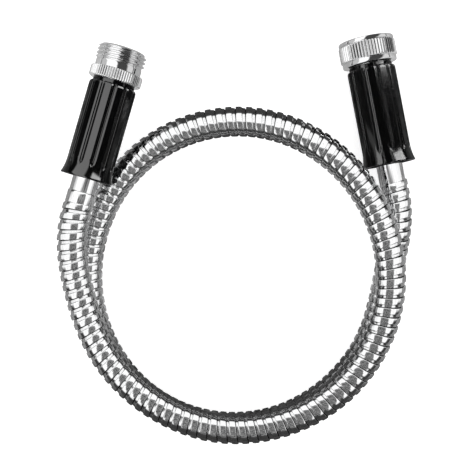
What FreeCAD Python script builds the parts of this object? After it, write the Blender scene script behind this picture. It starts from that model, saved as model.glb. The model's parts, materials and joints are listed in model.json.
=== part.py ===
import FreeCAD, Part
import math
import os

# Interlocked metal leader hose with a male and a female garden-hose end, lying coiled on a
# flat surface.  Millimetres, +Z up, Z = 0 is the surface it rests on, and the origin is
# under the middle of the coil.  Both ends point roughly along +Y: the male one at -X on top
# of the coil, the female one at +X.
#
# The strip-wound jacket and the water tube (liner) inside it are cut into rigid links that
# meet at the bend points, with ball-and-sleeve joints in the jacket, so the hose can uncoil.
#
# Heights in a link run from its first bend point towards the next one.  Heights in the parts
# of an end run outwards from the end of the hose, where the jacket stops.

# Jacket
HOSE_R = 8.3            # over the raised turns
GROOVE_R = 7.4          # in the recess between two turns
TURN_PITCH = 5.34
TURN_LAND = 3.35        # width of a raised turn
EDGE = 0.3              # bevel on the edges of full-size turns
LAND_EDGE = 0.2         # bevel on a land's far edge and on a sleeve's mouth
SOCKET_R = 7.5          # inside radius of a sleeve
BALL_R = 7.35           # ball that turns inside the sleeve
NECK_R = 6.9            # neck in front of the ball
BALL_REAR = 4.5         # the ball reaches this far behind the bend point
SHOULDER = 3.6          # bend point to the first full-size turn
LIP = 1.2               # gap between a sleeve's mouth and the bend point
CAVITY = 7.8            # depth of a sleeve's cavity, from the bend point
BORE_R = 5.4            # bore of the ball
MID_BORE_R = 6.4        # bore between the joints
MID_BORE_START = 3.4
STUB = 14.0             # length of jacket between a hose end and its bend point
STUB_SOCKET_FLOOR = 7.2     # floor of the female stub's socket, from the bend point

# Water tube
LINER_R = 5.2
LINER_BORE_R = 4.0
LINER_REAR = BALL_REAR - 0.1    # the tube reaches this far behind the bend point
LINER_GAP = 6.9         # and stops this far short of the next one
STRETCHED_R = 6.15      # outside radius where it is stretched over the barbs
STRETCHED_BORE_R = 4.95
STRETCH_START = 21.0
LINER_END_M = 49.5
LINER_END_F = 48.5

# Ferrules: smooth tubes between the jacket and the grips
FERRULE_R = 7.4
FERRULE_BORE_R = 6.35
FERRULE_INSERT = 6.0    # length pushed into the jacket
FERRULE_END_M = 53.5
FERRULE_END_F = 52.5

# Male coupling
COLLAR_START = 64.8
COLLAR_R = 14.5         # over the knurl
COLLAR_HEIGHT = 6.1
COLLAR_KNURLS = 65
KNURL_INSET = 0.02      # the knurled band stops this far short of the collar's ends
MALE_NECK_R = 12.75     # smooth neck between the collar and the thread
THREAD_R = 13.49        # crest radius, 3/4 in garden hose thread
THREAD_ROOT_R = 12.25
THREAD_PITCH = 2.209
THREAD_TURNS = 4
MALE_TIP = 83.4         # sealing face
MALE_BORE_R = 8.2
MALE_BORE_FLOOR = 62.4

# Barbed tail and core, the same in both couplings
WATER_R = 3.3           # bore through the barbs
BARB_TIP_R = 3.9
BARB_R = 4.8
BARB_ROOT_R = 4.3
BARB_START = 24.0
BARB_PITCH = 3.4
BARB_COUNT = 6
BARB_END = 48.0
CORE_R = 9.7            # solid core inside the grip
CONE_START = 53.4       # cone that widens the tail to the core
CONE_HEIGHT = 5.2

# Female swivel nut
NUT_START = 65.4
NUT_END = 79.6
NUT_R = 15.95           # over the knurl
NUT_KNURLS = 58
NUT_BODY_R = 15.1       # under the knurl
NUT_REAR_RIM_R = 15.25
NUT_FRONT_RIM_R = 15.55
NUT_WALL = 2.6          # thickness of the rear wall
NUT_THREAD_R = 12.6     # socket wall, at the thread's minor radius
NUT_THREAD_DEPTH = 7.9  # rear face to the narrower part of the socket
NUT_RECESS_R = NUT_THREAD_R + 0.3
NUT_HOLE_R = 9.78       # hole in the rear wall

# Flange of the tailpiece, which holds the nut, and the washer on it
FLANGE_R = 12.2
FLANGE_START = NUT_START + 2.8
FLANGE_THICK = 1.8
WASHER_START = FLANGE_START + FLANGE_THICK + 0.1
WASHER_R = 12.5
WASHER_HOLE_R = 8.3
WASHER_THICK = 3.0

# Grips
GRIP_START_M = 9.8      # rim of the skirt
GRIP_START_F = 8.3
GRIP_END_M = COLLAR_START - 0.15
GRIP_END_F = 65.0
GRIP_R_M = 13.1         # over the ribs
GRIP_R_F = 13.6
SKIRT_FLARE = 1.4       # the skirt's rim stands this far outside the ribs
GRIP_COUNTERBORE_R = 9.9
GRIP_COUNTERBORE_DEPTH = 9.2
GRIP_BORE_R = 7.55
RIBS = 12
RIB_GROOVE_WIDTH = 1.5
RIB_GROOVE_DEPTH = 0.75

# Bend points from the male end to the female end: x, y, z, before CENTRE_SHIFT is added
BEND_POINTS = [
    (-89.57, 9.17, 32.00), (-88.87, -29.11, 27.89), (-75.10, -64.78, 26.20),
    (-48.20, -92.07, 26.20), (-12.63, -106.30, 26.20), (25.52, -103.12, 26.20),
    (58.69, -83.94, 26.20), (79.87, -52.14, 27.60), (84.63, -14.30, 30.80),
    (72.67, 22.08, 30.80), (46.59, 50.11, 29.59), (11.19, 64.28, 25.92),
    (-26.64, 61.24, 20.87), (-59.35, 42.03, 15.55), (-80.50, 10.41, 11.08),
    (-86.71, -27.30, 8.56), (-76.42, -64.20, 8.35), (-51.51, -93.30, 8.35),
    (-16.22, -108.17, 8.35), (21.99, -105.71, 8.35), (55.31, -86.80, 8.35),
    (77.79, -55.78, 8.35), (87.31, -18.92, 9.36), (89.39, 19.12, 16.05),
]
MALE_END = (-85.689, 22.624, 32.0)          # hose ends, shifted like the bend points
FEMALE_END = (86.772, 32.870, 16.05)
CENTRE_SHIFT = FreeCAD.Vector(-1.041, 1.166, -0.05)
MALE_OUT = FreeCAD.Vector(0.276965, 0.960880, 0)        # unit vectors out of the ends
FEMALE_OUT = FreeCAD.Vector(-0.187066, 0.982347, 0)

ORIGIN = FreeCAD.Vector(0, 0, 0)
UP = FreeCAD.Vector(0, 0, 1)


def shifted(point):
    return FreeCAD.Vector(*point) + CENTRE_SHIFT


def turned(profile):
    """Solid of revolution about Z from a closed (radius, height) profile.

    An item with four numbers is an arc: end radius and height, then a point on the way."""
    edges = []
    for last, item in zip(profile, profile[1:] + profile[:1]):
        start = FreeCAD.Vector(last[0], 0, last[1])
        end = FreeCAD.Vector(item[0], 0, item[1])
        if len(item) == 4:
            middle = FreeCAD.Vector(item[2], 0, item[3])
            edges.append(Part.Arc(start, middle, end).toShape())
        else:
            edges.append(Part.makeLine(start, end))
    solid = Part.Face(Part.Wire(edges)).revolve(ORIGIN, UP, 360)
    # the profile's sense of travel can turn the solid inside out
    if solid.Volume < 0:
        solid.reverse()
    return solid


def export(name, shape, origin, direction):
    """Put the local origin at origin and local Z along direction, then write the part."""
    shape.Placement = FreeCAD.Placement(origin, FreeCAD.Rotation(UP, direction))
    solids = shape.Solids
    shape = solids[0] if len(solids) == 1 else Part.makeCompound(solids)
    shape.exportStep("parts/%s.step" % name)


# ---------------------------------------------------------------- jacket
def ball_profile():
    """Rear face, ball and neck, from the bore out to the shoulder."""
    rear_r = math.sqrt(BALL_R ** 2 - BALL_REAR ** 2)
    front_z = math.sqrt(BALL_R ** 2 - NECK_R ** 2)
    return [(BORE_R, -BALL_REAR), (rear_r, -BALL_REAR),
            (NECK_R, front_z, BALL_R, 0.0), (NECK_R, SHOULDER),
            (HOSE_R - EDGE, SHOULDER), (HOSE_R, SHOULDER + EDGE)]


def turns_profile(plain_from):
    """Recesses between the raised turns, as many as fit before plain_from."""
    points = []
    z = SHOULDER
    while z + TURN_PITCH < plain_from:
        points += [(HOSE_R, z + TURN_LAND - LAND_EDGE), (GROOVE_R, z + TURN_LAND),
                   (GROOVE_R, z + TURN_PITCH - 0.1), (HOSE_R, z + TURN_PITCH + 0.1)]
        z += TURN_PITCH
    return points


def jacket_link(length):
    mouth = length - LIP
    cavity_floor = length - CAVITY
    return turned(ball_profile() + turns_profile(cavity_floor - 1.0) + [
        (HOSE_R, mouth - LAND_EDGE), (HOSE_R - LAND_EDGE, mouth),
        (SOCKET_R, mouth), (SOCKET_R, cavity_floor),
        (MID_BORE_R, cavity_floor - 1.1), (MID_BORE_R, MID_BORE_START),
        (BORE_R, MID_BORE_START - 1.0)])


def stub_end_profile():
    """Outer edge of a stub at the hose end, ending at its socket."""
    return [(HOSE_R, STUB - EDGE), (HOSE_R - EDGE, STUB), (SOCKET_R, STUB)]


def male_stub():
    """Plain sleeve between the first ball and the male ferrule, from the bend point."""
    return turned([(SOCKET_R, LIP), (HOSE_R - LAND_EDGE, LIP), (HOSE_R, LIP + LAND_EDGE)]
                  + stub_end_profile())


def female_stub():
    """Last ball, with a socket for the female ferrule, from the bend point."""
    return turned(ball_profile() + stub_end_profile()
                  + [(SOCKET_R, STUB_SOCKET_FLOOR), (BORE_R, STUB_SOCKET_FLOOR)])


# ---------------------------------------------------------------- water tube
def liner_link(length):
    return turned([(LINER_BORE_R, -LINER_REAR), (LINER_R, -LINER_REAR),
                   (LINER_R, length - LINER_GAP), (LINER_BORE_R, length - LINER_GAP)])


def liner_over_barbs(start, end):
    """Water tube stretched over a barbed tail."""
    return turned([
        (LINER_BORE_R, start), (LINER_R, start), (LINER_R, STRETCH_START - 2.0),
        (STRETCHED_R, STRETCH_START), (STRETCHED_R, end),
        (STRETCHED_BORE_R, end), (STRETCHED_BORE_R, STRETCH_START + 0.5),
        (LINER_BORE_R, STRETCH_START - 1.5)])


# ---------------------------------------------------------------- ends
def ferrule(end):
    return turned([(FERRULE_BORE_R, -FERRULE_INSERT), (FERRULE_R, -FERRULE_INSERT),
                   (FERRULE_R, end), (FERRULE_BORE_R, end)])


def grip(start, end, rib_r):
    """Sleeve with a flared, hollow skirt at the hose side and long ribs."""
    skirt_r = rib_r + SKIRT_FLARE
    counterbore_floor = end - GRIP_COUNTERBORE_DEPTH
    body = turned([
        # skirt
        (skirt_r - 1.2, start), (skirt_r - 0.3, start), (skirt_r, start + 0.4),
        (rib_r + 0.55, start + 3.2), (rib_r + 0.1, start + 6.2), (rib_r, start + 8.0),
        # ribs and the step at the outer end
        (rib_r, end - 3.2), (rib_r - 0.5, end - 2.6), (rib_r - 0.5, end - 2.0),
        (rib_r - 1.6, end - 2.0), (rib_r - 1.6, end),
        # bore and the hollow of the skirt
        (GRIP_COUNTERBORE_R, end), (GRIP_COUNTERBORE_R, counterbore_floor),
        (GRIP_BORE_R, counterbore_floor), (GRIP_BORE_R, start + 11.5),
        (10.6, start + 7.0)])
    groove_start = start + 9.5
    groove_length = end - 1.95 - groove_start
    corner = FreeCAD.Vector(rib_r - RIB_GROOVE_DEPTH, -RIB_GROOVE_WIDTH / 2, groove_start)
    cutters = []
    for i in range(RIBS):
        box = Part.makeBox(2.0, RIB_GROOVE_WIDTH, groove_length, corner)
        box.rotate(ORIGIN, UP, (i + 0.5) * 360.0 / RIBS)
        cutters.append(box)
    return body.cut(cutters)


def add_knurl(body, radius, depth, count, bottom, top, inner_r, rim_r, bevel):
    """Fuse on a straight-knurled band: a star prism trimmed by a ring with bevelled rims."""
    points = []
    for i in range(count):
        for r, step in ((radius, i), (radius - depth, i + 0.5)):
            angle = 2 * math.pi * step / count
            points.append(FreeCAD.Vector(r * math.cos(angle), r * math.sin(angle), bottom))
    points.append(points[0])
    star = Part.Face(Part.makePolygon(points)).extrude(FreeCAD.Vector(0, 0, top - bottom))
    ring = turned([(inner_r, bottom), (rim_r, bottom), (radius, bottom + bevel),
                   (radius, top - bevel), (rim_r, top), (inner_r, top)])
    return body.fuse(star.common(ring)).removeSplitter()


def tail_profile(core_end):
    """Outside of the barbed tail, cone and core, from the bore at the tail's tip."""
    points = [(WATER_R, BARB_START), (BARB_TIP_R, BARB_START)]
    for i in range(BARB_COUNT):
        z = BARB_START + i * BARB_PITCH
        points += [(BARB_R, z + 2.6), (BARB_ROOT_R, z + 3.0)]
    return points + [(BARB_ROOT_R, BARB_END), (BARB_ROOT_R, CONE_START),
                     (CORE_R, CONE_START + CONE_HEIGHT), (CORE_R, core_end)]


def male_coupling():
    thread_start = MALE_TIP - 0.6 - THREAD_TURNS * THREAD_PITCH
    points = tail_profile(COLLAR_START)
    points += [(MALE_NECK_R, COLLAR_START), (MALE_NECK_R, thread_start + 0.35),
               (THREAD_ROOT_R, thread_start + 0.55)]
    # the thread is a stack of separate rings
    for i in range(THREAD_TURNS):
        z = thread_start + i * THREAD_PITCH
        points += [(THREAD_ROOT_R, z + 0.6), (THREAD_R, z + 1.2), (THREAD_R, z + 1.6),
                   (THREAD_ROOT_R, z + 2.2)]
    points += [(THREAD_ROOT_R, MALE_TIP - 0.3), (THREAD_ROOT_R - 0.3, MALE_TIP),
               (MALE_BORE_R, MALE_TIP), (MALE_BORE_R, MALE_BORE_FLOOR),
               (WATER_R, MALE_BORE_FLOOR - 3.0)]
    return add_knurl(turned(points), COLLAR_R, depth=0.55, count=COLLAR_KNURLS,
                     bottom=COLLAR_START + KNURL_INSET,
                     top=COLLAR_START + COLLAR_HEIGHT - KNURL_INSET,
                     inner_r=12.0, rim_r=14.0, bevel=0.88)


def female_tailpiece():
    flange_end = FLANGE_START + FLANGE_THICK
    return turned(tail_profile(FLANGE_START) + [
        (FLANGE_R, FLANGE_START), (FLANGE_R, flange_end), (8.6, flange_end),
        (6.0, FLANGE_START), (WATER_R, FLANGE_START - 3.0)])


def swivel_nut():
    body = turned([
        (NUT_HOLE_R, NUT_START), (NUT_REAR_RIM_R - 0.4, NUT_START),
        (NUT_REAR_RIM_R, NUT_START + 0.4), (NUT_REAR_RIM_R, NUT_START + 2.4),
        (NUT_BODY_R, NUT_START + 2.6), (NUT_BODY_R, NUT_END - 2.2),
        (NUT_FRONT_RIM_R, NUT_END - 2.0), (NUT_FRONT_RIM_R, NUT_END - 0.5),
        (15.0, NUT_END), (NUT_THREAD_R + 1.0, NUT_END), (NUT_THREAD_R, NUT_END - 0.9),
        (NUT_THREAD_R, NUT_START + NUT_THREAD_DEPTH),
        (NUT_RECESS_R, NUT_START + NUT_THREAD_DEPTH),
        (NUT_RECESS_R, NUT_START + NUT_WALL), (NUT_HOLE_R, NUT_START + NUT_WALL)])
    return add_knurl(body, NUT_R, depth=0.6, count=NUT_KNURLS,
                     bottom=NUT_START + 2.8, top=NUT_END - 2.4,
                     inner_r=14.0, rim_r=15.35, bevel=0.6)


def hose_washer():
    top = WASHER_START + WASHER_THICK
    return turned([(WASHER_HOLE_R, WASHER_START), (WASHER_R, WASHER_START),
                   (WASHER_R, top), (WASHER_HOLE_R, top)])


# ---------------------------------------------------------------- assembly
def build():
    os.makedirs("parts", exist_ok=True)
    bends = [shifted(point) for point in BEND_POINTS]

    male_parts = {
        "male_coupling": male_coupling(),
        "male_ferrule": ferrule(FERRULE_END_M),
        "male_grip": grip(GRIP_START_M, GRIP_END_M, GRIP_R_M),
        "liner_00": liner_over_barbs(LINER_GAP - STUB, LINER_END_M),
    }
    for name, shape in male_parts.items():
        export(name, shape, shifted(MALE_END), MALE_OUT)
    export("jacket_00", male_stub(), bends[0], MALE_OUT)

    for i, (start, end) in enumerate(zip(bends, bends[1:]), 1):
        step = end - start
        export("jacket_%02d" % i, jacket_link(step.Length), start, step)
        export("liner_%02d" % i, liner_link(step.Length), start, step)

    female_parts = {
        "female_tailpiece": female_tailpiece(),
        "female_ferrule": ferrule(FERRULE_END_F),
        "female_grip": grip(GRIP_START_F, GRIP_END_F, GRIP_R_F),
        "swivel_nut": swivel_nut(),
        "hose_washer": hose_washer(),
        "liner_%02d" % len(bends): liner_over_barbs(-STUB - LINER_REAR, LINER_END_F),
    }
    for name, shape in female_parts.items():
        export(name, shape, shifted(FEMALE_END), FEMALE_OUT)
    export("jacket_%02d" % len(bends), female_stub(), bends[-1], FEMALE_OUT)


build()
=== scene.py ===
"""A coiled metal shower hose lying flat on a pale table, seen from straight above.

The hose lies in the XY plane with +Z up.  It runs from the male end through a chain of bend
joints to the female end, which carries a swivel nut.  Sizes are in millimetres unless noted,
and are turned into metres when a mesh is made.  On each end fitting, stations (x) are measured
from the end of the hose outward along the axis of the fitting.
"""
import json
import math
from collections import namedtuple

import bpy
import numpy as np
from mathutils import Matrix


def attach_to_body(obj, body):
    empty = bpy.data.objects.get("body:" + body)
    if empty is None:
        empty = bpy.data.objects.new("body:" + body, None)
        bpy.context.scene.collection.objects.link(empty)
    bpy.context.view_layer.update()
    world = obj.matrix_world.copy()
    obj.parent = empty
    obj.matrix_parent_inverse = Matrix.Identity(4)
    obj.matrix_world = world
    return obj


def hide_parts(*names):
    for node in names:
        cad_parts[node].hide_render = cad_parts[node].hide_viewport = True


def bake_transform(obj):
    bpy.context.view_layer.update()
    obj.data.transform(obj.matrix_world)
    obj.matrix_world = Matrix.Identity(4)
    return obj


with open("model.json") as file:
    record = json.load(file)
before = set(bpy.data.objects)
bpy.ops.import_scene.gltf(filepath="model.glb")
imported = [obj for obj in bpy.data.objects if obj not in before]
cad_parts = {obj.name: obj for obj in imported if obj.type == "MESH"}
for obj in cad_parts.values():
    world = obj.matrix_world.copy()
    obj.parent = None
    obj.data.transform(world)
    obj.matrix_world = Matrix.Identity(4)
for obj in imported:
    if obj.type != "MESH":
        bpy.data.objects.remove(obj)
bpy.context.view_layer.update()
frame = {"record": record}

MM = 0.001                  # metres in a millimetre
UP = np.array([0.0, 0.0, 1.0])
TAU = 2 * math.pi


# ------------------------------------------------------------------ ends and joints
MALE_MOUNT_X = 78.68        # from the hose end to the thread mount
FEMALE_MOUNT_X = 76.0

mounts = {m["name"]: m for m in frame["record"]["mounts"]}
joints = {j["name"]: j for j in frame["record"]["behaviour"]["joints"]}
End = namedtuple("End", "body origin axis")


def unit(vector):
    vector = np.array(vector, float)
    return vector / np.linalg.norm(vector)


def hose_end(body, mount, mount_x):
    axis = unit(mount["axis"])
    return End(body, np.array(mount["pos_m"]) / MM - axis * mount_x, axis)


MALE = hose_end("male_end", mounts["male_thread"], MALE_MOUNT_X)
FEMALE = hose_end("female_end", mounts["female_thread"], FEMALE_MOUNT_X)

JOINT_NAMES = (["male_end_lift"] + ["hose_bend_%02d" % k for k in range(1, 12)]
               + ["hose_uncoil"] + ["hose_bend_%02d" % k for k in range(13, 23)]
               + ["female_end_lift"])
BENDS = [np.array(joints[name]["pos_m"]) / MM for name in JOINT_NAMES]


# ------------------------------------------------------------------ centre line of the hose
CENTRE_OFFSET = 1.05        # the centre line runs this far left of the joints, male to female
TURNS = 170                 # turns of the wound strip
CURVATURE_REACH = 1.0       # curvature is taken over this length each way


def centre_points():
    """The hose ends and joints, with all but the outermost joints moved to the centre line."""
    points = [MALE.origin] + BENDS + [FEMALE.origin]
    moved = list(points)
    for i in range(2, len(points) - 2):
        left = unit(np.cross(UP, unit(points[i + 1] - points[i - 1])))
        moved[i] = points[i] + left * CENTRE_OFFSET
    return np.array(moved)


def clamped_spline(knots, points, start_dir, end_dir):
    """Knot spacings and second derivatives of a cubic spline with given end directions."""
    count = len(knots)
    h = np.diff(knots)
    slopes = np.diff(points, axis=0) / h[:, None]
    matrix = np.zeros((count, count))
    right = np.zeros((count, 3))
    matrix[0, :2] = 2 * h[0], h[0]
    right[0] = 6 * (slopes[0] - start_dir)
    matrix[-1, -2:] = h[-1], 2 * h[-1]
    right[-1] = 6 * (end_dir - slopes[-1])
    for i in range(1, count - 1):
        matrix[i, i - 1:i + 2] = h[i - 1], 2 * (h[i - 1] + h[i]), h[i]
        right[i] = 6 * (slopes[i] - slopes[i - 1])
    return h, np.linalg.solve(matrix, right)


POINTS = centre_points()
CHORDS = np.linalg.norm(np.diff(POINTS, axis=0), axis=1)
KNOTS = np.concatenate([[0], np.cumsum(CHORDS)])
SPACINGS, SECONDS = clamped_spline(KNOTS, POINTS, -MALE.axis, FEMALE.axis)


def spline_at(knot):
    """Position and derivative at spline parameters."""
    i = np.clip(np.searchsorted(KNOTS, knot, side="right") - 1, 0, len(SPACINGS) - 1)
    x = (knot - KNOTS[i])[:, None]
    h = SPACINGS[i][:, None]
    m0, m1 = SECONDS[i], SECONDS[i + 1]
    slope = (POINTS[i + 1] - POINTS[i]) / h - h * (2 * m0 + m1) / 6
    position = POINTS[i] + x * slope + x ** 2 * m0 / 2 + x ** 3 * (m1 - m0) / (6 * h)
    return position, slope + x * m0 + x ** 2 * (m1 - m0) / (2 * h)


# arc length against spline parameter
FINE_KNOTS = np.linspace(0, KNOTS[-1], 12001)
FINE_STEPS = np.linalg.norm(np.diff(spline_at(FINE_KNOTS)[0], axis=0), axis=1)
FINE_ARC = np.concatenate([[0], np.cumsum(FINE_STEPS)])
LENGTH = FINE_ARC[-1]
PITCH = LENGTH / TURNS
BEND_ARC = np.interp(KNOTS[1:-1], FINE_KNOTS, FINE_ARC)


def spline_at_arc(s):
    """Position and unit tangent at arc lengths, held at the hose ends."""
    position, slope = spline_at(np.interp(np.clip(s, 0, LENGTH), FINE_ARC, FINE_KNOTS))
    return position, slope / np.linalg.norm(slope, axis=1)[:, None]


def hose_frame(s):
    """Centre, left and up at arc lengths s; the hose runs on straight past its ends."""
    centre, tangent = spline_at_arc(s)
    centre = centre + tangent * (s - np.clip(s, 0, LENGTH))[:, None]
    left = np.cross(UP, tangent)
    left /= np.linalg.norm(left, axis=1)[:, None]
    return centre, left, np.cross(tangent, left)


def hose_curvature(s):
    """Curvature at arc lengths s, positive where the hose turns left."""
    flat = np.clip(s.ravel(), 0, LENGTH)
    left = hose_frame(flat)[1]
    before = spline_at_arc(flat - CURVATURE_REACH)[1]
    after = spline_at_arc(flat + CURVATURE_REACH)[1]
    bend = ((after - before) * left).sum(1) / (2 * CURVATURE_REACH)
    return bend.reshape(s.shape)


def around_hose(s, radius, angle):
    """Points round the hose and their "along" values; the angle runs from left to up."""
    s, radius, angle = (v.ravel() for v in np.broadcast_arrays(s, radius, angle))
    centre, left, up = hose_frame(s)
    cos, sin = np.cos(angle), np.sin(angle)
    spoke = cos[:, None] * left + sin[:, None] * up
    along = np.stack([s, radius * cos, radius * sin], 1)
    return centre + radius[:, None] * spoke, along


# ------------------------------------------------------------------ mesh helpers
def link_object(name, mesh):
    ob = bpy.data.objects.new(name, mesh)
    bpy.context.scene.collection.objects.link(ob)
    return ob


def make_object(name, verts, faces, material, along, sharp):
    """A smooth-shaded object from millimetres; edges over `sharp` radians stay sharp.

    The "along" attribute holds unbent places (station, y, z) for the textures."""
    mesh = bpy.data.meshes.new(name)
    mesh.from_pydata((verts * MM).tolist(), [], faces)
    mesh.validate()
    mesh.polygons.foreach_set("use_smooth", [True] * len(mesh.polygons))
    if sharp is not None:
        mesh.set_sharp_from_angle(angle=sharp)
    attribute = mesh.attributes.new("along", "FLOAT_VECTOR", "POINT")
    attribute.data.foreach_set("vector", np.asarray(along, np.float32).ravel())
    mesh.materials.append(material)
    return link_object(name, mesh)


def flat_sheet(name, half_width, height):
    """A level square centred over the origin, in metres."""
    w, z = half_width, height
    mesh = bpy.data.meshes.new(name)
    mesh.from_pydata([(-w, -w, z), (w, -w, z), (w, w, z), (-w, w, z)], [], [(0, 1, 2, 3)])
    return link_object(name, mesh)


def even_angles(count):
    return np.linspace(0, TAU, count, endpoint=False)


def grid_faces(index, flip=False):
    """Quads over a grid of vertex numbers."""
    quads = np.stack([index[:-1, :-1], index[1:, :-1], index[1:, 1:], index[:-1, 1:]], -1)
    quads = quads.reshape(-1, 4)
    return (quads[:, ::-1] if flip else quads).tolist()


def wall_faces(outer, inner, flip=False):
    """Quads between two rows of vertex numbers."""
    quads = np.stack([outer[:-1], outer[1:], inner[1:], inner[:-1]], -1)
    return (quads[:, ::-1] if flip else quads).tolist()


def revolve(name, end, loop, material, angles=even_angles(96), shape=None, sharp=0.55):
    """A closed solid turned about an end's axis from a closed loop of (station, radius).

    Angle 0 is straight up and grows to the right, looking along the axis.
    shape(x, radius, angle) may change the radius."""
    loop = np.array(loop, float)
    x, angle = np.meshgrid(loop[:, 0], angles, indexing="ij")
    radius = np.repeat(loop[:, 1][:, None], len(angles), 1)
    if shape is not None:
        radius = shape(x, radius, angle)
    right = np.array([end.axis[1], -end.axis[0], 0.0])
    spoke = np.cos(angle)[..., None] * UP + np.sin(angle)[..., None] * right
    verts = end.origin + x[..., None] * end.axis + radius[..., None] * spoke
    index = np.pad(np.arange(x.size).reshape(x.shape), ((0, 1), (0, 1)), mode="wrap")
    xs, rs = loop.T
    area = (xs * np.roll(rs, -1) - np.roll(xs, -1) * rs).sum()
    along = np.stack([x, radius * np.cos(angle), radius * np.sin(angle)], -1)
    return make_object(name, verts.reshape(-1, 3), grid_faces(index, flip=area < 0), material,
                       along.reshape(-1, 3), sharp)


def attach(ob, body, piece):
    """Make an object move with a body and stand in for a CAD piece."""
    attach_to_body(ob, body)
    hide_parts(piece)


# ------------------------------------------------------------------ shader helpers
class Graph:
    """Short calls for building the node tree of a material or world."""

    def __init__(self, owner):
        owner.use_nodes = True
        self.nodes = owner.node_tree.nodes
        self.links = owner.node_tree.links

    def put(self, node, inputs):
        """Set each input to a value, or link it to an output socket."""
        for name, value in inputs.items():
            if isinstance(value, bpy.types.NodeSocket):
                self.links.new(value, node.inputs[name])
            else:
                node.inputs[name].default_value = value

    def new(self, kind, inputs=None, **settings):
        node = self.nodes.new(kind)
        for name, value in settings.items():
            setattr(node, name, value)
        self.put(node, inputs or {})
        return node

    def principled(self, inputs):
        self.put(self.nodes["Principled BSDF"], inputs)

    def math(self, operation, *values):
        node = self.new("ShaderNodeMath", dict(enumerate(values)), operation=operation)
        return node.outputs["Value"]

    def add(self, a, b):
        return self.math("ADD", a, b)

    def mul(self, a, b):
        return self.math("MULTIPLY", a, b)

    def inverse(self, a):
        return self.math("SUBTRACT", 1.0, a)

    def map_range(self, value, from_min, from_max, to_min=0.0, to_max=1.0, **settings):
        inputs = {"Value": value, "From Min": from_min, "From Max": from_max,
                  "To Min": to_min, "To Max": to_max}
        return self.new("ShaderNodeMapRange", inputs, **settings).outputs["Result"]

    def noise(self, vector, **inputs):
        node = self.new("ShaderNodeTexNoise", {"Vector": vector, **inputs})
        return node.outputs["Fac"]

    def along(self):
        return self.new("ShaderNodeAttribute", attribute_name="along").outputs["Vector"]

    def surface_noise(self, per_mm, detail):
        """Noise over the unbent surface, with its frequency along x, y and z."""
        mapping = self.new("ShaderNodeMapping", {"Vector": self.along(), "Scale": per_mm})
        return self.noise(mapping.outputs["Vector"], Scale=1.0, Detail=detail, Roughness=0.55)

    def ramp(self, fac, stops):
        """A colour ramp with stops of (position, colour)."""
        node = self.new("ShaderNodeValToRGB", {"Fac": fac})
        elements = node.color_ramp.elements
        while len(elements) < len(stops):
            elements.new(0.5)
        for element, (position, colour) in zip(elements, stops):
            element.position = position
            element.color = (*colour, 1)
        return node.outputs["Color"]

    def bump(self, height, strength, distance):
        node = self.new("ShaderNodeBump", {"Strength": strength, "Distance": distance * MM,
                                           "Height": height})
        self.principled({"Normal": node.outputs["Normal"]})

    def step(self, value, edge, soft):
        """0 below the edge and 1 above it, blended over `soft` each way."""
        return self.map_range(value, edge - soft, edge + soft, interpolation_type="SMOOTHSTEP")

    def band(self, value, low, high, soft):
        """1 between low and high, 0 outside."""
        return self.mul(self.step(value, low, soft), self.inverse(self.step(value, high, soft)))


# ------------------------------------------------------------------ materials
def paint_recess_shade(g, colour):
    """Darken a colour with painted shade at small radii, in the recess of the strip."""
    place = g.new("ShaderNodeSeparateXYZ", {"Vector": g.along()}).outputs
    spoke = g.new("ShaderNodeCombineXYZ", {"Y": place["Y"], "Z": place["Z"]})
    radius = g.new("ShaderNodeVectorMath", {0: spoke.outputs["Vector"]}, operation="LENGTH")
    shade = g.map_range(radius.outputs["Value"], from_min=7.0, from_max=8.1)
    # painted shade: near black at the bottom of the gap, faint over the rest of the recess
    painted_shade = g.ramp(shade, [(0.0, (0.04,) * 3), (0.20, (0.10,) * 3),
                          (0.36, (0.90,) * 3), (1.0, (1.0,) * 3)])
    mix = g.new("ShaderNodeMix", {"Factor": 1.0, "A": colour, "B": painted_shade},
                data_type="RGBA", blend_type="MULTIPLY")
    return mix.outputs["Result"]


def metal(name, dark, light, rough, line_per_mm, wave, bump, recess=False):
    """Polished metal with fine lines and slow waves in its surface.

    wave is the share of slow waves in the bump, and bump its height."""
    material = bpy.data.materials.new(name)
    g = Graph(material)
    colour = g.ramp(g.surface_noise((0.6, 6.0, 6.0), detail=4.0), [(0.3, dark), (0.7, light)])
    blotches = g.surface_noise((1.1, 0.9, 0.9), detail=3.0)
    g.principled({
        "Metallic": 1.0,
        "Base Color": paint_recess_shade(g, colour) if recess else colour,
        "Roughness": g.map_range(blotches, from_min=0.3, from_max=0.7,
                                 to_min=rough * 0.7, to_max=rough * 1.5)})
    lines = g.surface_noise(line_per_mm, detail=2.0)
    waves = g.surface_noise((0.30, 0.30, 0.30), detail=1.0)
    g.bump(g.math("MULTIPLY_ADD", waves, wave, lines), strength=0.35, distance=bump)
    return material


def plastic(name, dark, light, rough, bump):
    material = bpy.data.materials.new(name)
    g = Graph(material)
    mottle = g.surface_noise((0.35, 0.9, 0.9), detail=4.0)
    blotches = g.surface_noise((0.9, 0.9, 0.9), detail=3.0)
    g.principled({
        "Base Color": g.ramp(mottle, [(0.35, dark), (0.65, light)]),
        "Roughness": g.map_range(blotches, from_min=0.3, from_max=0.7,
                                 to_min=rough * 0.75, to_max=rough * 1.35),
        "Specular IOR Level": 0.4,
        "Coat Weight": 0.0,
        "Coat Roughness": 0.06})
    g.bump(g.surface_noise((3.0, 3.0, 3.0), detail=3.0), strength=0.25, distance=bump)
    return material


# the wound strip gets painted shade in its recess (recess=True)
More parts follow.
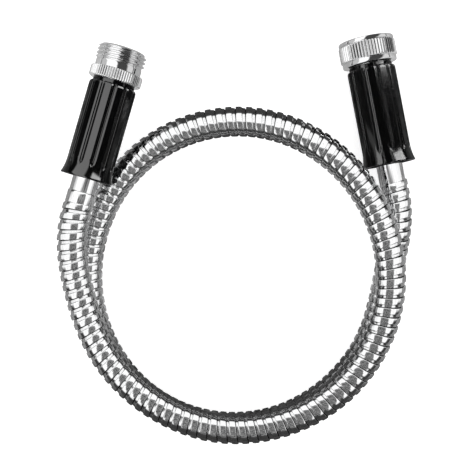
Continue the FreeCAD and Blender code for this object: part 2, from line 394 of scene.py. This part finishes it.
MAT_JACKET = metal("stainless_strip", dark=(0.74, 0.742, 0.746), light=(0.86, 0.862, 0.866),
                   rough=0.07, line_per_mm=(0.95, 0.13, 0.13), wave=0.8, bump=0.16, recess=True)
MAT_PLATED = metal("nickel_plate", dark=(0.74, 0.74, 0.743), light=(0.86, 0.86, 0.863),
                   rough=0.08, line_per_mm=(1.2, 1.2, 1.2), wave=1.0, bump=0.015)
MAT_FERRULE = metal("drawn_tube", dark=(0.78, 0.78, 0.785), light=(0.88, 0.88, 0.885),
                    rough=0.05, line_per_mm=(0.15, 3.0, 3.0), wave=0.6, bump=0.006)
MAT_GRIP = plastic("gloss_black_plastic", dark=(0.0010, 0.0010, 0.0012),
                   light=(0.0024, 0.0024, 0.0026), rough=0.10, bump=0.006)
MAT_LINER = plastic("water_tube", dark=(0.05, 0.05, 0.055), light=(0.075, 0.075, 0.08),
                    rough=0.45, bump=0.02)
MAT_WASHER = plastic("rubber_washer", dark=(0.018, 0.018, 0.018), light=(0.035, 0.034, 0.033),
                     rough=0.6, bump=0.03)

# ------------------------------------------------------------------ hose
HOSE_R = 8.3                # where the width of the land is held
LAND_WIDTH = 3.35
MIN_RECESS = 0.5
JACKET_INNER_R = 6.85
INNER_PER_TURN = 3          # stations to a turn on the inner wall
JACKET_SEGMENTS = 72
SEAM_ANGLE = -math.pi / 2   # each turn starts underneath
LINER_OUTER_R = 5.2
LINER_INNER_R = 4.0
LINER_STEP = 2.0
LINER_SEGMENTS = 40
END_CLEARANCE = 3.0         # the first and last blends keep this far from the hose ends
BLEND_CLEARANCE = 0.4       # other blends keep this far inside their jacket

# One pitch of the wound strip: (place, radius).  Places 0 to 1 share out the recess, and
# 1 to 2 the raised land, whose width stays the same round a bend.
STRIP_PROFILE = np.array([
    (0.00, 7.02), (0.17, 7.02), (0.18, 7.38), (0.21, 7.46), (0.30, 7.49),
    (0.48, 7.55), (0.66, 7.62), (0.84, 7.70), (0.95, 7.76), (0.985, 7.85),
    (1.00, 8.12), (1.012, 8.20), (1.03, 8.235), (1.08, 8.258), (1.18, 8.288),
    (1.30, 8.312), (1.44, 8.326), (1.56, 8.326), (1.70, 8.312), (1.82, 8.288),
    (1.91, 8.260), (1.95, 8.235), (1.975, 8.19), (1.99, 8.07), (1.999, 7.85)])


def helix_index(first, rows, per_turn):
    """Vertex numbers of a wound sheet, whose last column is the first one turn on."""
    width = JACKET_SEGMENTS + 1
    index = first + np.arange(rows * width).reshape(rows, width)
    index[:rows - per_turn, -1] = index[per_turn:, 0]
    return index


def jacket(name, turn0, turn1):
    """A closed length of wound strip from one helical edge to the next."""
    sweep = np.linspace(0, TAU, JACKET_SEGMENTS + 1)
    angle = sweep + SEAM_ANGLE

    per_turn = len(STRIP_PROFILE)
    rows = (turn1 - turn0) * per_turn + 1
    row = np.arange(rows)
    place, radius = STRIP_PROFILE[row % per_turn].T[:, :, None]
    start = ((turn0 + row // per_turn)[:, None] + sweep / TAU) * PITCH
    stretch = 1 - hose_curvature(start) * HOSE_R * np.cos(angle)
    land = np.minimum(LAND_WIDTH / stretch, PITCH - MIN_RECESS)
    recess = PITCH - land
    s = start + np.where(place < 1, place * recess, recess + (place - 1) * land)
    outer, outer_along = around_hose(s, radius, angle)

    inner_rows = (turn1 - turn0) * INNER_PER_TURN + 1
    inner_turn = turn0 + np.arange(inner_rows) / INNER_PER_TURN
    s = (inner_turn[:, None] + sweep / TAU) * PITCH
    inner, inner_along = around_hose(s, JACKET_INNER_R, angle)

    out = helix_index(0, rows, per_turn)
    inn = helix_index(out.size, inner_rows, INNER_PER_TURN)
    faces = grid_faces(out, flip=True) + grid_faces(inn)
    # each end has a wall round the hose and one face across the step of the helix
    faces += wall_faces(out[0], inn[0])
    faces.append(out[:per_turn + 1, 0].tolist()[::-1] + inn[:INNER_PER_TURN + 1, 0].tolist())
    o, i = out[-1], inn[-1]
    faces += np.stack([o[1:], o[:-1], i[:-1], i[1:]], -1).tolist()
    faces.append(out[-1 - per_turn:, -1].tolist()
                 + inn[-1 - INNER_PER_TURN:, -1].tolist()[::-1])

    # drop the vertices that the shared columns leave unused
    verts = np.concatenate([outer, inner])
    along = np.concatenate([outer_along, inner_along])
    used = np.zeros(len(verts), bool)
    used[[v for face in faces for v in face]] = True
    renumbered = np.cumsum(used) - 1
    faces = [renumbered[face].tolist() for face in faces]
    return make_object(name, verts[used], faces, MAT_JACKET, along[used], sharp=0.75)


def liner(name, s0, s1):
    """A smooth closed tube along the centre line."""
    rows = max(3, int(math.ceil((s1 - s0) / LINER_STEP)) + 1)
    s = np.linspace(s0, s1, rows)[:, None]
    angle = even_angles(LINER_SEGMENTS)
    outer, outer_along = around_hose(s, LINER_OUTER_R, angle)
    inner, inner_along = around_hose(s, LINER_INNER_R, angle)
    out = np.arange(rows * LINER_SEGMENTS).reshape(rows, LINER_SEGMENTS)
    out = np.pad(out, ((0, 0), (0, 1)), mode="wrap")
    inn = out + rows * LINER_SEGMENTS
    faces = grid_faces(out, flip=True) + grid_faces(inn)
    faces += wall_faces(out[0], inn[0]) + wall_faces(out[-1], inn[-1], flip=True)
    return make_object(name, np.concatenate([outer, inner]), faces, MAT_LINER,
                       np.concatenate([outer_along, inner_along]), sharp=0.9)


# the hose is cut midway between bends, the jacket at the nearest whole turn
CUTS = [0.0] + [(a + b) / 2 for a, b in zip(BEND_ARC, BEND_ARC[1:])] + [LENGTH]
TURN_CUTS = [0] + [int(round((s - PITCH / 2) / PITCH)) for s in CUTS[1:-1]] + [TURNS - 1]
LAST = len(BENDS) - 1


def blend_range(k):
    """Arc lengths between which length k bends, centred on its joint."""
    bend = BEND_ARC[k]
    if k == 0:
        return END_CLEARANCE, 2 * bend - END_CLEARANCE
    if k == LAST:
        return 2 * bend - LENGTH + END_CLEARANCE, LENGTH - END_CLEARANCE
    half = min(bend - (TURN_CUTS[k] + 1) * PITCH, TURN_CUTS[k + 1] * PITCH - bend)
    half -= BLEND_CLEARANCE
    return bend - half, bend + half


def hose_length(k):
    """The jacket and liner round joint k; the last also stands in for the end pieces."""
    start, end = (hose_frame(np.array(blend_range(k)))[0] * MM).tolist()
    pieces = [(jacket("hose_jacket_%02d" % k, TURN_CUTS[k], TURN_CUTS[k + 1]), "jacket"),
              (liner("hose_liner_%02d" % k, CUTS[k], CUTS[k + 1]), "liner")]
    for ob, kind in pieces:
        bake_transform(ob)
        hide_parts(*["%s_%02d" % (kind, n) for n in ([k, k + 1] if k == LAST else [k])])


for k in range(len(BENDS)):
    hose_length(k)

# ------------------------------------------------------------------ grips
RIBS = 12
RIB_PITCH = TAU / RIBS
RIB_START = 6.6             # the grooves start this far from the hose side of the grip
RIB_RUNOUT = 3.6            # length over which they open to full width
RIB_EDGE = 1.6              # from mid groove to the flat top of a rib
GRIP_BORE = 7.55
GRIP_SOCKET = 9.9           # wider bore at the coupling side
FLARE_RISE = 1.38           # the flare at the hose side stands this far above the ribs

# distances from mid groove that get a column of vertices
RIB_COLUMNS = np.array([0.0, 0.3, 0.42, 0.50, 0.58, 0.66, 0.76, 0.9, 1.15, 1.4, 1.55, 1.7,
                        2.3, 2.9, 3.37])
# section of a groove: distance from its middle, and depth there
RIB_D = np.array([0.0, 0.40, 0.50, 0.60, 0.72, 0.90, 1.15, 1.45, 1.65, 3.38])
RIB_DROP = np.array([1.05, 1.05, 0.85, 0.50, 0.34, 0.26, 0.19, 0.12, 0.085, 0.0])


def rib_angles(offset, radius):
    """Columns round a grip: close together at the edges of the grooves."""
    # the middle column and the one at mid rib are not mirrored
    mirrored = RIB_COLUMNS[(RIB_COLUMNS > 0.1) & (RIB_COLUMNS < 3.3)]
    local = np.sort(np.concatenate([RIB_COLUMNS, -mirrored])) / radius
    columns = [offset + i * RIB_PITCH + v for i in range(RIBS) for v in local]
    return np.sort(np.mod(columns, TAU))


def rib_shape(x0, offset, rib_r):
    """Cuts the grooves into the outside of a grip and flattens the ribs."""
    def apply(x, radius, angle):
        from_groove = np.abs(np.mod(angle - offset + RIB_PITCH / 2, RIB_PITCH) - RIB_PITCH / 2)
        runout = np.clip((x - (x0 + RIB_START)) / RIB_RUNOUT, 0, 1)
        width = np.sqrt(1 - (1 - runout) ** 2)
        distance = from_groove * rib_r / np.maximum(width, 0.02)
        drop = np.interp(distance, RIB_D, RIB_DROP) * np.clip(runout * 3, 0, 1)
        # flat top: a chord across the rib instead of an arc
        from_rib = RIB_PITCH / 2 - from_groove
        chord = rib_r - (rib_r - 0.12) / np.cos(np.minimum(from_rib, 0.14))
        drop = np.where(distance > RIB_EDGE, np.maximum(chord, 0.0) * runout, drop)
        outside = (radius > rib_r - 1.0) & (x > x0 + 6.0)
        room = np.clip(radius - (rib_r - 1.1), 0, 1.1)
        return np.where(outside, radius - np.minimum(drop, room), radius)
    return apply


def grip_outline(x0, x1, rib_r):
    """Loop of (station, radius): flare, ribs, rounded far end, then back through the bore."""
    rim = rib_r + FLARE_RISE
    top = x1 - 1.9
    loop = [(x0, rib_r + 0.4), (x0 - 0.02, rib_r + 1.0), (x0 + 0.12, rib_r + 1.3),
            (x0 + 0.5, rim)]
    loop += [(x0 + 0.5 + f * 8.5, rib_r + FLARE_RISE * (1 - f) ** 2.3)
             for f in np.linspace(0.06, 1.0, 15)]
    loop += [(x0 + x, rib_r) for x in (10.0, 11.0, 12.5, 20.0, 32)]
    loop += [(x1 - 10, rib_r), (top - 2.2, rib_r), (top - 1.5, rib_r - 0.02),
             (top - 0.9, rib_r - 0.15), (top - 0.35, rib_r - 0.45), (top, rib_r - 0.85),
             (top, rib_r - 1.5), (x1 - 0.15, rib_r - 1.55), (x1, rib_r - 1.7)]
    loop += [(x1, GRIP_SOCKET), (x1 - 9.2, GRIP_SOCKET), (x1 - 9.2, GRIP_BORE),
             (x0 + 11.5, GRIP_BORE), (x0 + 7.0, 10.6), (x0 + 0.6, rib_r + 0.1)]
    return loop


def grip(piece, end, x0, x1, groove_deg, rib_r):
    """A ribbed sleeve between stations x0 and x1, with its first groove at groove_deg."""
    offset = math.radians(groove_deg)
    ob = revolve(piece + "_sleeve", end, grip_outline(x0, x1, rib_r), MAT_GRIP,
                 angles=rib_angles(offset, rib_r), shape=rib_shape(x0, offset, rib_r), sharp=0.7)
    attach(ob, end.body, piece)


grip("male_grip", MALE, x0=9.8, x1=64.65, groove_deg=13.0, rib_r=13.1)
grip("female_grip", FEMALE, x0=8.3, x1=65.0, groove_deg=5.0, rib_r=13.6)

# ------------------------------------------------------------------ ferrules
FERRULE_R = 7.4
FERRULE_BORE = 6.4
# ring against the first turn of the strip: (station, radius)
FERRULE_BEAD = [(-4.9, 7.7), (-4.6, 7.9), (-3.0, 7.95), (-1.0, 7.96), (0.6, 7.95),
                (1.4, 7.93), (1.8, 7.86), (2.05, 7.7), (2.15, FERRULE_R)]


def ferrule(piece, end, x1, bead):
    loop = [(-6.0, FERRULE_BORE), (-6.0, 7.2), (-5.8, FERRULE_R), (-5.0, FERRULE_R)] + bead
    loop += [(x, FERRULE_R) for x in np.linspace(4.0, x1 - 0.3, 21)]
    loop += [(x1, 7.15), (x1, FERRULE_BORE)]
    attach(revolve(piece + "_tube", end, loop, MAT_FERRULE), end.body, piece)


ferrule("male_ferrule", MALE, x1=53.5, bead=FERRULE_BEAD)
ferrule("female_ferrule", FEMALE, x1=52.5, bead=[])

# ------------------------------------------------------------------ threads and knurls
THREAD_PITCH = 2.209
KNURL_COLUMNS = 8           # columns of vertices to a tooth


def thread_shape(x0, x1, depth, where, inside=False):
    """Right-handed 60 degree thread: raises the root to the crest between x0 and x1.

    where(x, radius) picks the threaded surface; an inside thread grows inward."""
    def apply(x, radius, angle):
        phase = np.mod(x / THREAD_PITCH - angle / TAU, 1.0)
        from_crest = np.abs(phase - 0.5) * 2            # 0 at the crest, 1 at the root
        flank = np.clip((0.86 - from_crest) / 0.66, 0, 1)
        # part straight, part rounded
        flank = flank * flank * (3 - 2 * flank) * 0.35 + flank * 0.65
        fade_in = np.clip((x - x0) / (0.5 * THREAD_PITCH), 0, 1)
        fade_out = np.clip((x1 - x) / (0.35 * THREAD_PITCH), 0, 1)
        lift = depth * flank * (fade_in * fade_out)
        return np.where(where(x, radius), radius - lift if inside else radius + lift, radius)
    return apply


def knurl_shape(teeth, depth, x0, x1, top, above):
    """Teeth cut down from radius `top` where the outline is over radius `above`."""
    def apply(x, radius, angle):
        valley = np.power(0.5 - 0.5 * np.cos(angle * teeth), 0.85)
        on = (radius > above) & (x > x0) & (x < x1)
        return np.where(on, np.minimum(radius, top - depth * valley), radius)
    return apply


# ------------------------------------------------------------------ male coupling
# barbed stem shared by both ends, up to the shoulder: (station, radius)
STEM_BORE = 3.3
STEM = [
    (24.0, STEM_BORE), (24.0, 3.9), (26.6, 4.8), (27.0, 4.3), (27.4, 4.3), (30.0, 4.8),
    (30.4, 4.3), (30.8, 4.3), (33.4, 4.8), (33.8, 4.3), (34.2, 4.3), (36.8, 4.8), (37.2, 4.3),
    (37.6, 4.3), (40.2, 4.8), (40.6, 4.3), (41.0, 4.3), (43.6, 4.8), (44.0, 4.3),
    (53.4, 4.3), (58.6, 9.7)]

COLLAR_X0 = 64.8
COLLAR_X1 = 70.9
COLLAR_R = 14.5
COLLAR_BORE = 12.6
COLLAR_TEETH = 65
TIP = 83.4                  # open end of the male thread
SPIGOT_R = 12.75
MALE_ROOT_R = 12.25


def male_spigot():
    loop = STEM + [(COLLAR_X0, 9.7), (COLLAR_X0, 12.7), (COLLAR_X1 + 0.1, 12.72),
                   (COLLAR_X1 + 0.5, SPIGOT_R)]
    loop += [(x, SPIGOT_R) for x in np.linspace(COLLAR_X1 + 1.0, TIP - 8.9, 4)]
    loop += [(TIP - 8.65, 12.6), (TIP - 8.5, 12.3)]
    loop += [(x, MALE_ROOT_R) for x in np.arange(TIP - 8.4, TIP - 0.75, 0.1)]
    loop += [(TIP - 0.7, MALE_ROOT_R), (TIP - 0.35, 12.1), (TIP - 0.1, 11.8), (TIP, 11.5),
             (TIP, 8.5), (TIP - 0.2, 8.2), (62.4, 8.2), (59.4, STEM_BORE)]

    def threaded(x, radius):
        return (radius > 12.0) & (x > TIP - 8.55) & (x < TIP - 0.2)

    thread = thread_shape(TIP - 8.6, TIP - 0.6, depth=1.24, where=threaded)
    ob = revolve("male_spigot", MALE, loop, MAT_PLATED, angles=even_angles(192), shape=thread,
                 sharp=0.6)
    attach(ob, MALE.body, "male_coupling")


def male_collar():
    x0, x1 = COLLAR_X0, COLLAR_X1
    loop = [(x0, COLLAR_BORE), (x0, 13.7), (x0 + 0.25, 14.05), (x0 + 0.7, 14.45),
            (x0 + 0.9, COLLAR_R)]
    loop += [(x, COLLAR_R) for x in np.linspace(x0 + 1.4, x1 - 1.2, 6)]
    loop += [(x1 - 0.8, COLLAR_R), (x1 - 0.5, 14.4), (x1 - 0.15, 14.1), (x1, 13.8),
             (x1, COLLAR_BORE)]
    knurl = knurl_shape(COLLAR_TEETH, depth=0.55, x0=x0 + 0.1, x1=x1 + 0.1, top=COLLAR_R,
                        above=13.75)
    ob = revolve("male_collar", MALE, loop, MAT_PLATED,
                 angles=even_angles(COLLAR_TEETH * KNURL_COLUMNS), shape=knurl, sharp=None)
    attach(ob, MALE.body, "male_coupling")


male_spigot()
male_collar()

# ------------------------------------------------------------------ female coupling
NUT_X0 = 65.4               # hose side of the nut
NUT_X1 = 79.6               # open side of the nut
NUT_R = 15.95
NUT_BORE = 9.85             # hole round the tailpiece
NUT_CAVITY = 12.9
NUT_ROOT_R = 13.55
NUT_TEETH = 58
FLANGE_X = NUT_X0 + 2.8     # hose side of the tailpiece flange
WASHER_X = FLANGE_X + 1.9


def swivel_nut():
    a, b = NUT_X0, NUT_X1
    # hose-side rim, groove and start of the knurl
    loop = [(a, NUT_BORE), (a, 14.65), (a + 0.12, 15.0), (a + 0.4, 15.2), (a + 0.8, 15.25),
            (a + 2.2, 15.25), (a + 2.45, 15.15), (a + 2.6, 15.0), (a + 2.7, 15.0),
            (a + 2.85, 15.35), (a + 3.1, 15.75), (a + 3.4, NUT_R)]
    loop += [(x, NUT_R) for x in np.linspace(a + 4.0, b - 3.6, 8)]
    # end of the knurl, groove and open rim
    loop += [(b - 3.0, NUT_R), (b - 2.7, 15.75), (b - 2.45, 15.35), (b - 2.3, 15.2),
             (b - 2.2, 15.2), (b - 2.05, 15.45), (b - 1.8, 15.55), (b - 0.7, 15.55),
             (b - 0.4, 15.45), (b - 0.1, 15.15), (b, 14.85), (b, 13.6), (b - 0.85, NUT_CAVITY)]
    loop += [(x, NUT_ROOT_R) for x in np.arange(b - 0.95, a + 7.9, -0.12)]
    loop += [(a + 7.8, NUT_CAVITY), (a + 2.6, NUT_CAVITY), (a + 2.6, NUT_BORE)]

    def threaded(x, radius):
        return (radius > 13.5) & (radius < 13.58) & (x > a + 7.85) & (x < b - 0.9)

    thread = thread_shape(a + 7.85, b - 0.7, depth=0.93, where=threaded, inside=True)
    knurl = knurl_shape(NUT_TEETH, depth=0.62, x0=a + 2.75, x1=b - 2.35, top=NUT_R, above=15.25)

    def shape(x, radius, angle):
        return thread(x, knurl(x, radius, angle), angle)

    ob = revolve("nut_shell", FEMALE, loop, MAT_PLATED,
                 angles=even_angles(NUT_TEETH * KNURL_COLUMNS), shape=shape, sharp=0.9)
    attach(ob, "swivel", "swivel_nut")


def tailpiece():
    x = FLANGE_X
    loop = STEM + [(x - 0.1, 9.7), (x, 9.8), (x, 11.9), (x + 0.25, 12.2), (x + 1.5, 12.2),
                   (x + 1.8, 11.9), (x + 1.8, 8.8), (x + 1.6, 8.4), (x, 6.0),
                   (x - 3.0, STEM_BORE)]
    ob = revolve("tailpiece_stem", FEMALE, loop, MAT_PLATED)
    attach(ob, FEMALE.body, "female_tailpiece")


def washer():
    x = WASHER_X
    loop = [(x, 8.5), (x + 0.2, 8.3), (x + 2.8, 8.3), (x + 3.0, 8.5), (x + 3.0, 12.2),
            (x + 2.8, 12.45), (x + 0.2, 12.45), (x, 12.2)]
    ob = revolve("washer_ring", FEMALE, loop, MAT_WASHER, sharp=None)
    attach(ob, "swivel", "hose_washer")


swivel_nut()
tailpiece()
washer()


# ------------------------------------------------------------------ floor
def build_floor():
    floor = flat_sheet("floor", half_width=3.0, height=-0.0003)
    material = bpy.data.materials.new("pale_floor")
    g = Graph(material)
    coords = g.new("ShaderNodeTexCoord").outputs["Object"]
    grey = g.map_range(g.noise(coords, Scale=40.0), from_min=0.0, from_max=1.0,
                       to_min=0.885, to_max=0.895)
    combine = g.new("ShaderNodeCombineColor", {"Red": grey, "Green": grey, "Blue": grey})
    colour = combine.outputs["Color"]
    g.principled({"Roughness": 0.8, "Specular IOR Level": 0.1, "Base Color": colour,
                  "Emission Color": colour, "Emission Strength": 0.72})

    # in reflections the floor is darker and spotted, and darkest along Y from the origin
    geometry = g.new("ShaderNodeNewGeometry")
    place = g.new("ShaderNodeSeparateXYZ", {"Vector": geometry.outputs["Position"]}).outputs
    xx = g.mul(place["X"], place["X"])
    yy = g.mul(place["Y"], place["Y"])
    sideways = g.math("DIVIDE", xx, g.add(g.add(xx, yy), 1e-6))
    level = g.map_range(sideways, from_min=0.25, from_max=0.85, to_min=0.06, to_max=0.32,
                        interpolation_type="SMOOTHSTEP")
    spots = g.map_range(g.noise(coords, Scale=110.0, Detail=1.0), from_min=0.38, from_max=0.62,
                        to_min=0.35, to_max=1.65)
    glow = g.new("ShaderNodeEmission", {"Strength": g.mul(level, spots)})
    mix = g.new("ShaderNodeMixShader", {
        0: g.new("ShaderNodeLightPath").outputs["Is Glossy Ray"],
        1: g.nodes["Principled BSDF"].outputs["BSDF"],
        2: glow.outputs["Emission"]})
    g.put(g.nodes["Material Output"], {"Surface": mix.outputs["Shader"]})
    floor.data.materials.append(material)


build_floor()


# ------------------------------------------------------------------ studio light
def build_world():
    """An even white surround that reflections hardly see."""
    world = bpy.data.worlds.new("studio")
    bpy.context.scene.world = world
    g = Graph(world)
    g.nodes.clear()
    glossy = g.new("ShaderNodeLightPath").outputs["Is Glossy Ray"]
    strength = g.new("ShaderNodeMix", {"Factor": glossy, "A": 1.0, "B": 0.02},
                     data_type="FLOAT")
    background = g.new("ShaderNodeBackground", {"Strength": strength.outputs["Result"],
                                                "Color": (1, 1, 1, 1)})
    g.new("ShaderNodeOutputWorld", {"Surface": background.outputs["Background"]})


# Light sheets, in metres.  Each is seen only in the reflections of some pieces, and its
# pattern is laid out in degrees from straight up, seen from VIEWPOINT_Z over the origin.
SHEET_HALF = 7.0
VIEWPOINT_Z = 0.03
HOSE_CEILING = 0.290
CEILING = 0.56              # the other sheets lie a few millimetres above this


def sky_angles(g, height, axes="XY"):
    """The angle from straight up, then its parts along the given axes."""
    geometry = g.new("ShaderNodeNewGeometry")
    place = g.new("ShaderNodeSeparateXYZ", {"Vector": geometry.outputs["Position"]}).outputs
    x, y = place["X"], place["Y"]
    radius = g.add(g.math("SQRT", g.add(g.mul(x, x), g.mul(y, y))), 1e-5)
    slope = g.math("DIVIDE", radius, height - VIEWPOINT_Z)
    angle = g.mul(g.math("ARCTANGENT", slope), 180 / math.pi)
    ratio = g.math("DIVIDE", angle, radius)
    return (angle, *[g.mul(place[axis], ratio) for axis in axes])


def light_sheet(name, height, pattern, receivers):
    """A wide sheet of light; pattern(graph, height) gives its brightness."""
    ob = flat_sheet(name, SHEET_HALF, height)
    material = bpy.data.materials.new(name)
    g = Graph(material)
    g.nodes.clear()
    glow = g.new("ShaderNodeEmission", {"Strength": pattern(g, height)})
    clear = g.new("ShaderNodeBsdfTransparent")
    both = g.new("ShaderNodeAddShader", {0: glow.outputs["Emission"],
                                         1: clear.outputs["BSDF"]})
    g.new("ShaderNodeOutputMaterial", {"Surface": both.outputs["Shader"]})
    ob.data.materials.append(material)
    for ray in ("camera", "diffuse", "shadow", "transmission", "volume_scatter"):
        setattr(ob, "visible_" + ray, False)
    collection = bpy.data.collections.new(name + "_receivers")
    for receiver in receivers:
        collection.objects.link(receiver)
    ob.light_linking.receiver_collection = collection


def speckle(g, x, y, scale):
    """Soft blotches, 0 to 1, longer along X."""
    place = g.new("ShaderNodeCombineXYZ", {"X": g.mul(x, scale * 0.45), "Y": g.mul(y, scale)})
    noise = g.noise(place.outputs["Vector"], Scale=1.0, Detail=2.0)
    return g.map_range(noise, from_min=0.40, from_max=0.60)


def hose_light(g, height):
    """White to both sides and toward +Y, with a blotchy grey patch overhead."""
    angle, x, y = sky_angles(g, height)
    sides = g.inverse(g.band(x, low=-28, high=30, soft=3.0))
    white = g.math("MAXIMUM", sides, g.step(y, edge=8, soft=4.0))
    near = g.inverse(g.step(angle, edge=66, soft=4.0))
    arms = g.mul(g.band(y, low=-24, high=24, soft=8.0),
                 g.step(g.math("ABSOLUTE", x), edge=40, soft=4.0))
    white = g.mul(white, g.math("MAXIMUM", near, arms))
    spot_level, spot_floor = 0.30, 0.015
    spots = g.add(g.mul(speckle(g, x, y, scale=0.22), spot_level), spot_floor)
    grey = g.mul(spots, g.inverse(g.step(angle, edge=64, soft=6.0)))
    white_level, base_level = 1.05, 0.035
    return g.add(g.add(g.mul(white, white_level), grey), base_level)


def fitting_light(g, height):
    """A white band left of centre between a grey left side and a paler right side."""
    _, x = sky_angles(g, height, axes="X")
    white_level, right_level, left_level, base_level = 1.25, 0.75, 0.55, 0.05
    white = g.mul(g.band(x, low=-50, high=-4, soft=3.5), white_level)
    right = g.mul(g.step(x, edge=50, soft=6.0), right_level)
    left = g.mul(g.inverse(g.step(x, edge=-50, soft=6.0)), left_level)
    return g.add(g.add(white, right), g.add(left, base_level))


def table_light(g, height):
    """An even grey, the same everywhere."""
    return 0.40


def grip_light(g, x, y, strip, patch_x, patch_y, lines):
    """A strip, a bright patch, the far left edge and thin lines."""
    patch_level, edge_level = 12.0, 1.6
    patch = g.mul(g.band(x, *patch_x, soft=4.0), g.band(y, *patch_y, soft=4.0))
    patch = g.mul(patch, patch_level)
    edge = g.mul(g.inverse(g.step(x, edge=-76, soft=5.0)), edge_level)
    return g.add(g.add(strip, patch), g.add(edge, lines))


def male_grip_light(g, height):
    _, x, y = sky_angles(g, height)
    strip_level, line_level = 4.2, 2.0
    strip = g.mul(g.band(x, low=-50, high=-2, soft=3.5), strip_level)
    line = g.mul(g.band(x, low=62, high=68, soft=2.0), line_level)
    return grip_light(g, x, y, strip, patch_x=(28, 76), patch_y=(18, 66), lines=line)


def female_grip_light(g, height):
    _, x, y = sky_angles(g, height)
    strip_level, line_level = 5.0, 2.4
    strip = g.mul(g.band(x, low=-60, high=-34, soft=3.0), strip_level)
    lines = g.add(g.band(x, low=-24, high=-19, soft=1.5), g.band(x, low=12, high=16, soft=1.5))
    lines = g.mul(lines, line_level)
    return grip_light(g, x, y, strip, patch_x=(22, 62), patch_y=(26, 66), lines=lines)


build_world()
shown = [ob for ob in bpy.data.objects if ob.type == "MESH" and ob.material_slots]
HOSE_PARTS = ("hose_", "male_ferrule_", "female_ferrule_")
FITTING_PARTS = ("male_spigot", "male_collar", "nut_shell", "tailpiece_", "washer_")

# name, height, pattern, and how the names of the pieces that reflect it begin
LIGHT_SHEETS = [
    ("hose_ceiling", HOSE_CEILING, hose_light, HOSE_PARTS),
    ("fitting_ceiling", CEILING + 0.004, fitting_light, FITTING_PARTS),
    ("fitting_table", -0.0001, table_light, FITTING_PARTS),
    ("male_grip_ceiling", CEILING + 0.008, male_grip_light, ("male_grip_sleeve",)),
    ("female_grip_ceiling", CEILING + 0.012, female_grip_light, ("female_grip_sleeve",)),
]
for name, height, pattern, parts in LIGHT_SHEETS:
    light_sheet(name, height, pattern, [ob for ob in shown if ob.name.startswith(parts)])


# ------------------------------------------------------------------ camera
def build_camera():
    """Straight down from above the middle of the coil, in metres."""
    data = bpy.data.cameras.new("camera")
    camera = link_object("camera", data)
    data.sensor_width = 36.0
    data.lens = 73.275949
    data.clip_start = 0.01
    data.clip_end = 20.0
    camera.location = (-0.001554, 0.001267, 0.560)
    camera.rotation_euler = (0, 0, 0)
    bpy.context.scene.camera = camera


build_camera()
bpy.context.scene.view_settings.view_transform = "Standard"
